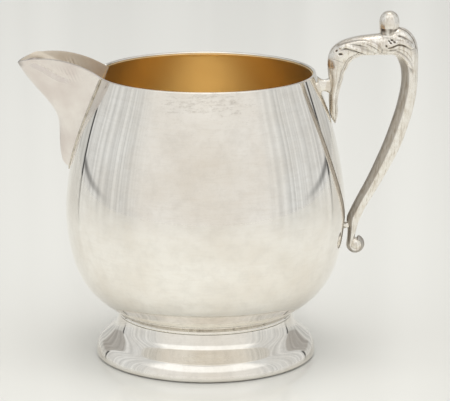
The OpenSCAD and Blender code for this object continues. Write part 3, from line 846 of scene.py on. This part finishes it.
def stroke(line, row, angle):
    """Height that a chased line adds at a place, in mm."""
    points, width, height = line
    reach = STROKE_REACH * width
    p = Vector((row * ROW_LENGTH, math.radians(angle) * GIRTH_RADIUS))
    marks = [Vector((a * ROW_LENGTH, math.radians(b) * GIRTH_RADIUS)) for a, b in points]
    if not marks[0].x - reach < p.x < marks[-1].x + reach:
        return 0.0
    gaps = []
    for a, b in zip(marks, marks[1:]):
        run = b - a
        t = min(1.0, max(0.0, (p - a).dot(run) / run.length_squared))
        gaps.append((p - a - t * run).length)
    return height * math.exp(-((min(gaps) / width) ** 2)) if min(gaps) < reach else 0.0


def relief(row, angle):
    """Height of the leaf's folds and chased lines at a place on the casting."""
    folds = FOLD_HEIGHT * sum(fold(shape, row, angle) for shape in FOLDS)
    return (folds + sum(stroke(line, row, angle) for line in STROKES)) * MM


class HandleForm:
    """The handle's path and cross sections."""

    def __init__(self, s):
        self.side = BowlSide(s)
        self.arm_z = s.rim_z + ARM_RISE
        rise = self.arm_z - s.scroll_z
        self.tongue_z, self.lug_z = s.scroll_z + HANDLE_ROWS[0][1] * rise, s.scroll_z + LUG_RISE
        self.rows = []
        for out, up, depth, thick in HANDLE_ROWS:
            z = s.scroll_z + up * rise
            half_depth, half_thick = depth * s.handle_w / 2, thick * s.handle_t / 2
            self.rows.append(Vector((self.line(z) + out * s.handle_out, z, half_depth, half_thick)))
        self.scroll = Vector((self.side.radius(s.scroll_z) + SCROLL_OUT, 0, s.scroll_z))
        start, end = SCROLL_HALF
        for i in range(SCROLL_ROWS):
            a = math.radians(180 + SCROLL_STEP * i)
            half = (start + (end - start) * i / (SCROLL_ROWS - 1)) * SCROLL_R
            x, z = self.scroll.x + SCROLL_R * math.cos(a), self.scroll.z + SCROLL_R * math.sin(a)
            self.rows.append(Vector((x, z, half, half_thick)))

    def line(self, z):
        """The line of the bowl behind the handle, from the lower lug to the tongue."""
        low, high = self.side.radius(self.lug_z), self.side.radius(self.tongue_z)
        return low + (z - self.lug_z) / (self.tongue_z - self.lug_z) * (high - low)

    def at(self, row):
        """Centre, half depth and half thickness at a place among the rows."""
        end = len(self.rows) - 1
        i = min(int(row), end - 1)
        t = row - i
        a, b, c, d = (self.rows[min(max(k, 0), end)] for k in (i - 1, i, i + 1, i + 2))
        return (2 * b + (c - a) * t + (2 * a - 5 * b + 4 * c - d) * t * t
                + (3 * b - a - 3 * c + d) * t**3) / 2

    def cut(self, row):
        """What at(row) gives, and the direction across the path."""
        ahead = self.at(min(row + AHEAD, len(self.rows) - 1)) - self.at(max(row - AHEAD, 0))
        along = Vector((ahead.x, ahead.y)).normalized()
        return self.at(row), Vector((-along.y, along.x))

    def stations(self):
        """Places among the rows at which the mesh has a ring."""
        top, places = len(self.rows) - 1, [0.0]
        while places[-1] < top:
            step = LEAF_STEP if LEAF_FROM <= places[-1] < LEAF_TO else PLAIN_STEP
            places.append(min(top, places[-1] + step))
        return places


class JUG_OT_handle(bpy.types.Operator):
    """Casts the handle with its leaf, ridge and scroll, and turns its thumb knob"""

    bl_idname = "jug.make_handle"
    bl_label = "Handle and thumb knob"

    def execute(self, context):
        s, finish = context.scene.jug_sizes, context.scene.jug_finish
        form = HandleForm(s)
        knob_x = form.line(form.arm_z) + KNOB_PLACE * s.handle_out
        seat = Vector((knob_x, 0, form.arm_z + SEAT_RISE))
        bm = self.casting(form)
        for part in (self.calyx(seat), self.eye(form.scroll)):
            mesh = bpy.data.meshes.new("part")
            part.to_mesh(mesh)
            part.free()
            bm.from_mesh(mesh)
            bpy.data.meshes.remove(mesh)
        piece("cast_handle", bm, "handle", silver_plate_cast(finish), sharp=80)

        egg = [Vector((0, 0))] + curve(scaled(EGG, s.knob_r, s.knob_h), KNOB_MESH[0])
        piece("knob", turning(egg, KNOB_MESH[1], seat), "thumb_knob",
              silver_plate_cast(finish), sharp=50)
        return {"FINISHED"}

    def casting(self, form):
        stations = form.stations()
        cuts = [form.cut(row) for row in stations]
        last, columns, half = len(stations) - 1, HANDLE_COLUMNS, HANDLE_COLUMNS // 2
        rises = [
            [relief(row, 180 * k / half) if row < RELIEF_TO else 0.0 for k in range(half + 1)]
            for row in stations
        ]

        def hollow(i, j):
            """How far a place lies under what is 0.4 mm round it: 1 in a fold and 0 on a crest. The
            limb's inner face gets painted shade too."""
            k = min(i, columns - i)
            near = [
                rises[min(max(j + dj, 0), last)][half - abs(half - abs(k + dk))]
                for dj in (-LOOK_ALONG, 0, LOOK_ALONG)
                for dk in (-LOOK_ROUND, 0, LOOK_ROUND) if dj or dk
            ]
            under = sum(near) / len(near) - rises[j][k]
            fold_dirt = min(1.0, max(0.0, under / FOLD_DEPTH))
            # painted shade on the limb's inner face
            on_inside = ramp(180 * k / half, 124, 136)
            return max(fold_dirt, LIMB_INNER_SHADE * ramp(stations[j], 16.5, 18) * on_inside)

        def place(i, j):
            here, out = cuts[j]
            a = 360 * i / columns
            angle = min(a, 360 - a)
            c, n = math.cos(math.radians(angle)), math.sin(math.radians(angle))
            if angle <= RIDGE_ANGLE:
                p = bez(OUTER_FACE, angle / RIDGE_ANGLE)
            else:
                p = bez(INNER_FACE, (angle - RIDGE_ANGLE) / (180 - RIDGE_ANGLE))
            ridge = ramp(stations[j], RIDGE_FROM, RIDGE_FULL)
            rise = rises[j][min(i, columns - i)]
            end = min(1.0, math.sqrt(min(j, last - j) / END_STATIONS))
            deep = ((c + ridge * (p.x - c)) * here.z + rise * c) * end
            side = ((n + ridge * (p.y - n)) * here.w + rise * n) * end
            side = -side if a <= 180 else side
            return Vector((here.x + out.x * deep, side, here.y + out.y * deep))

        return sheet(columns, last, place, hollow)

    def calyx(self, seat):
        """The cup under the knob, from the arm's middle up to the seat."""
        root = Vector((0, -SEAT_RISE))
        side = curve([Vector((CALYX_R, root.y))] + scaled(CUP, MM, MM), CALYX_MESH[0])

        # painted shade over the whole cup, mottled by noise
        def darkening(p):
            return max(0.0, min(1.0, CALYX_SHADE + CALYX_SHADE_SPREAD * noise.noise(p * CALYX_SHADE_SPOTS)))

        return turning([root] + side + [Vector((0, -HAIR))], CALYX_MESH[1], seat, darkening)

    def eye(self, centre):
        """The flat ball in the scroll, whose axis lies across the handle."""
        ball = turning(curve(scaled(EYE, EYE_R, EYE_HALF), EYE_MESH[0]), EYE_MESH[1])
        bmesh.ops.rotate(ball, verts=ball.verts, matrix=Matrix.Rotation(math.pi / 2, 3, "X"))
        bmesh.ops.translate(ball, verts=ball.verts, vec=centre)
        return ball


LUG_COLUMNS, LUG_ROWS, LUG_WAIST, LUG_SQUARENESS = 64, 24, 0.4, 0.6


class JUG_OT_lugs(bpy.types.Operator):
    """Makes the two short lugs that carry the handle"""

    bl_idname = "jug.make_lugs"
    bl_label = "Handle lugs"

    def execute(self, context):
        finish = context.scene.jug_finish
        for name, node in (("rim_lug", "upper_lug"), ("limb_lug", "lower_lug")):
            lo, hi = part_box(node)
            mid, half = (lo + hi) / 2, (hi - lo) / 2

            def place(i, j):
                """A block with rounded corners. Its first and last rows close its ends."""
                a = FULL_TURN * i / LUG_COLUMNS
                width = 1 - LUG_WAIST * math.sin(math.pi * j / LUG_ROWS)
                width *= 0 if j in (0, LUG_ROWS) else 1
                y, z = (
                    math.copysign(abs(k) ** LUG_SQUARENESS, k) * width
                    for k in (math.cos(a), math.sin(a))
                )
                reach = (2 * j / LUG_ROWS - 1) * LUG_ROWS / (LUG_ROWS - 2)
                reach = max(-1.0, min(1.0, reach))
                return mid + Vector((half.x * reach, half.y * y, half.z * z))

            piece(name, sheet(LUG_COLUMNS, LUG_ROWS, place), node,
                  silver_plate_spun(finish))
        return {"FINISHED"}


# ---------------------------------------------------------------- stage

# A degree of the way round the tent, from its front to its back, and a degree of the way up
ROUND, RISE = 1 / 180, 1 / 90
# Light of the tent's parts, linear
WALLS = [
    (0, (0.83, 0.805, 0.76, 1)), (1, (0.62, 0.62, 0.6, 1)),
    (50 * ROUND, (0.84, 0.825, 0.795, 1)), (75 * ROUND, (0.76, 0.77, 0.765, 1)),
    (126 * ROUND, (0.73, 0.735, 0.73, 1)), (130 * ROUND, (0.63, 0.63, 0.61, 1)),
]
DIM_WALL, WINDOW = (0.45, 0.435, 0.415, 1), (1.12, 1.12, 1.1, 1)
ROOF, TOP_LIGHT, DARK_GAP = (0.74, 0.72, 0.69, 1), (2.0, 1.92, 1.8, 1), (0.07, 0.07, 0.07, 1)
# How dark the slot between side and back is, and the gap along the table, round the tent
SLOT = [(124.8 * ROUND, 0), (128.4 * ROUND, 0), (125.5 * ROUND, 1), (127.7 * ROUND, 1)]
TABLE_GAP = [
    (86 * ROUND, 0), (129 * ROUND, 0), (100 * ROUND, 0.35), (124 * ROUND, 0.75), (128 * ROUND, 0.8),
]
BACKGROUND = "#E2E3DC"


class JUG_OT_stage(bpy.types.Operator):
    """Sets the table, the light tent round it, the lamp and the camera"""

    bl_idname = "jug.make_stage"
    bl_label = "Table, light and camera"

    def execute(self, context):
        scene = context.scene
        self.table(scene)
        self.lamp(scene)
        self.tent(scene)
        self.camera(scene)
        scene.view_settings.view_transform = "Standard"
        return {"FINISHED"}

    def table(self, scene):
        bm = bmesh.new()
        bmesh.ops.create_circle(bm, cap_ends=True, segments=96, radius=0.9)
        mesh = bpy.data.meshes.new("table")
        bm.to_mesh(mesh)
        bm.free()
        mesh.materials.append(table_acrylic(scene.jug_finish))
        table = bpy.data.objects.new("table", mesh)
        scene.collection.objects.link(table)
        table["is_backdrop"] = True

    def lamp(self, scene):
        """A broad soft lamp over the jug. The metal shows the tent instead of it."""
        light = bpy.data.lights.new("soft_lamp", "AREA")
        light.shape, light.size, light.energy = "DISK", 1.2, 5.6
        light.color = (1.0, 0.99, 0.97)
        lamp = bpy.data.objects.new("soft_lamp", light)
        lamp.location = (0, -0.12, 1.55)
        aim = Vector((0, 0, 0.04)) - lamp.location
        lamp.rotation_euler = aim.to_track_quat("-Z", "Y").to_euler()
        lamp.visible_glossy = False
        scene.collection.objects.link(lamp)

    def camera(self, scene):
        """The photograph's view: 13.6 degrees down, from about 0.7 m."""
        lens = bpy.data.cameras.new("camera")
        lens.lens, lens.sensor_width, lens.shift_x = 179.5, 36, 0.0431
        camera = bpy.data.objects.new("camera", lens)
        camera.location = (0, -0.6732, 0.2110)
        camera.rotation_euler = (math.radians(90 - 13.6), 0, 0)
        scene.collection.objects.link(camera)
        scene.camera = camera

    def tent(self, scene):
        """A white tent: pale walls with folds at the sides, a bright window in front, a warmer
        roof with a bright patch at its top, and thin dark gaps at the sides."""
        world = bpy.data.worlds.new("light_tent")
        scene.world = world
        world.use_nodes = True
        tree = world.node_tree
        tree.nodes.clear()
        # the way round is 0 at the front and 1 at the back, and the way up is 1 overhead
        way = add(tree, "SeparateXYZ", [add(tree, "TexCoord").outputs["Generated"]])
        back = add(tree, "Math", [way.outputs["Y"], -1], operation="MULTIPLY")
        turn = add(tree, "Math", [way.outputs["X"], back], operation="ARCTAN2")
        either_side = add(tree, "Math", [turn], operation="ABSOLUTE")
        around = add(tree, "Math", [either_side, math.pi], operation="DIVIDE")
        lift = add(tree, "Math", [way.outputs["Z"]], operation="ARCSINE")
        up = add(tree, "Math", [lift, math.pi / 2], operation="DIVIDE")

        # the back's side walls are dim above a sill that is higher in the middle of the back
        walls = add(tree, "ValToRGB", [around], stops=WALLS)
        sill = add(
            tree, "MapRange",
            {"Value": around, LO: 150 * ROUND, HI: 158 * ROUND, TO_LO: 7 * RISE, TO_HI: 30 * RISE},
        )
        over_sill = add(tree, "Math", [up, sill], operation="SUBTRACT")
        high = add(tree, "MapRange", {"Value": over_sill, LO: -2.5 * RISE, HI: 2.5 * RISE})
        behind = add(tree, "MapRange", {"Value": around, LO: 127 * ROUND, HI: 129 * ROUND})
        dim = add(tree, "Math", [high, behind], operation="MULTIPLY")
        dimmed = add(tree, "Mix", {SHARE: dim, UNDER: walls, OVER: DIM_WALL}, data_type="RGBA")

        # upright folds in the sides and the back
        drape = add(tree, "TexNoise", {"W": turn, "Scale": 13, "Detail": 5, "Roughness": 0.6},
                    noise_dimensions="1D")
        depth = add(
            tree, "MapRange", {"Value": drape, LO: 0.38, HI: 0.62, TO_LO: 0.83, TO_HI: 1.07}
        )
        side = add(tree, "MapRange", {"Value": around, LO: 50 * ROUND, HI: 75 * ROUND})
        fold_light = add(tree, "Mix", {"Factor": side, "A": 1, "B": depth}, data_type="FLOAT")
        folded = add(tree, "Mix", {SHARE: 1, UNDER: dimmed, OVER: fold_light},
                     data_type="RGBA", blend_type="MULTIPLY")

        front = add(tree, "MapRange", {"Value": around, LO: 80 * ROUND, HI: 60 * ROUND})
        window_high = add(tree, "MapRange", {"Value": up, LO: 26 * RISE, HI: 34 * RISE})
        window = add(tree, "Math", [front, window_high], operation="MULTIPLY")
        eaves = add(
            tree, "MapRange",
            {"Value": around, LO: 100 * ROUND, HI: 135 * ROUND, TO_LO: 65 * RISE, TO_HI: 46 * RISE},
        )
        above = add(tree, "Math", [up, eaves], operation="SUBTRACT")
        roof = add(tree, "MapRange", {"Value": above, LO: -3 * RISE, HI: 3 * RISE})
        top = add(tree, "MapRange", {"Value": up, LO: 73 * RISE, HI: 79 * RISE})

        # a dark slot between the tent's side and its back, and a dark gap along the table
        slot = add(tree, "ValToRGB", [around], stops=SLOT)
        slot_top = add(tree, "MapRange", {"Value": up, LO: 17 * RISE, HI: 11 * RISE})
        upright = add(tree, "Math", [slot, slot_top], operation="MULTIPLY")
        along = add(tree, "ValToRGB", [around], stops=TABLE_GAP)
        gap_low = add(tree, "MapRange", {"Value": up, LO: -2.9 * RISE, HI: -2.1 * RISE})
        gap_high = add(tree, "MapRange", {"Value": up, LO: -0.8 * RISE, HI: -1.6 * RISE})
        band = add(tree, "Math", [gap_low, gap_high], operation="MULTIPLY")
        level = add(tree, "Math", [band, along], operation="MULTIPLY")
        gap = add(tree, "Math", [upright, level], operation="MAXIMUM")

        # the camera sees a plain background, and the metal sees the tent
        shown = add(tree, "LightPath").outputs["Is Camera Ray"]
        layers = [
            (window, WINDOW), (roof, ROOF), (top, TOP_LIGHT), (gap, DARK_GAP),
            (shown, rgb(BACKGROUND)),
        ]
        tone = folded
        for share, tint in layers:
            tone = add(tree, "Mix", {SHARE: share, UNDER: tone, OVER: tint}, data_type="RGBA")
        light = add(tree, "Background", {"Color": tone, "Strength": 1})
        add(tree, "OutputWorld", {"Surface": light})


class JUG_PT_panel(bpy.types.Panel):
    """Buttons that build the jug piece by piece"""

    bl_label = "Footed cream jug"
    bl_idname = "JUG_PT_panel"
    bl_space_type = "VIEW_3D"
    bl_region_type = "UI"
    bl_category = "Jug"

    def draw(self, context):
        column = self.layout.column()
        for maker in MAKERS:
            column.operator(maker.bl_idname)


MAKERS = [JUG_OT_bowl, JUG_OT_foot, JUG_OT_spout, JUG_OT_handle, JUG_OT_lugs, JUG_OT_stage]
CLASSES = [JugSizes, JugFinish, *MAKERS, JUG_PT_panel]


def register():
    for cls in CLASSES:
        bpy.utils.register_class(cls)
    bpy.types.Scene.jug_sizes = bpy.props.PointerProperty(type=JugSizes)
    bpy.types.Scene.jug_finish = bpy.props.PointerProperty(type=JugFinish)


def unregister():
    del bpy.types.Scene.jug_finish
    del bpy.types.Scene.jug_sizes
    for cls in reversed(CLASSES):
        bpy.utils.unregister_class(cls)


def main():
    register()
    bpy.ops.jug.make_bowl()
    bpy.ops.jug.make_foot()
    bpy.ops.jug.make_spout()
    bpy.ops.jug.make_handle()
    bpy.ops.jug.make_lugs()
    bpy.ops.jug.make_stage()
    boxes = {
        name: [list(corner) for corner in box]
        for name, box in (("cad", CAD_BOX), ("visual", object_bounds()))
    }


if __name__ == "__main__":
    main()
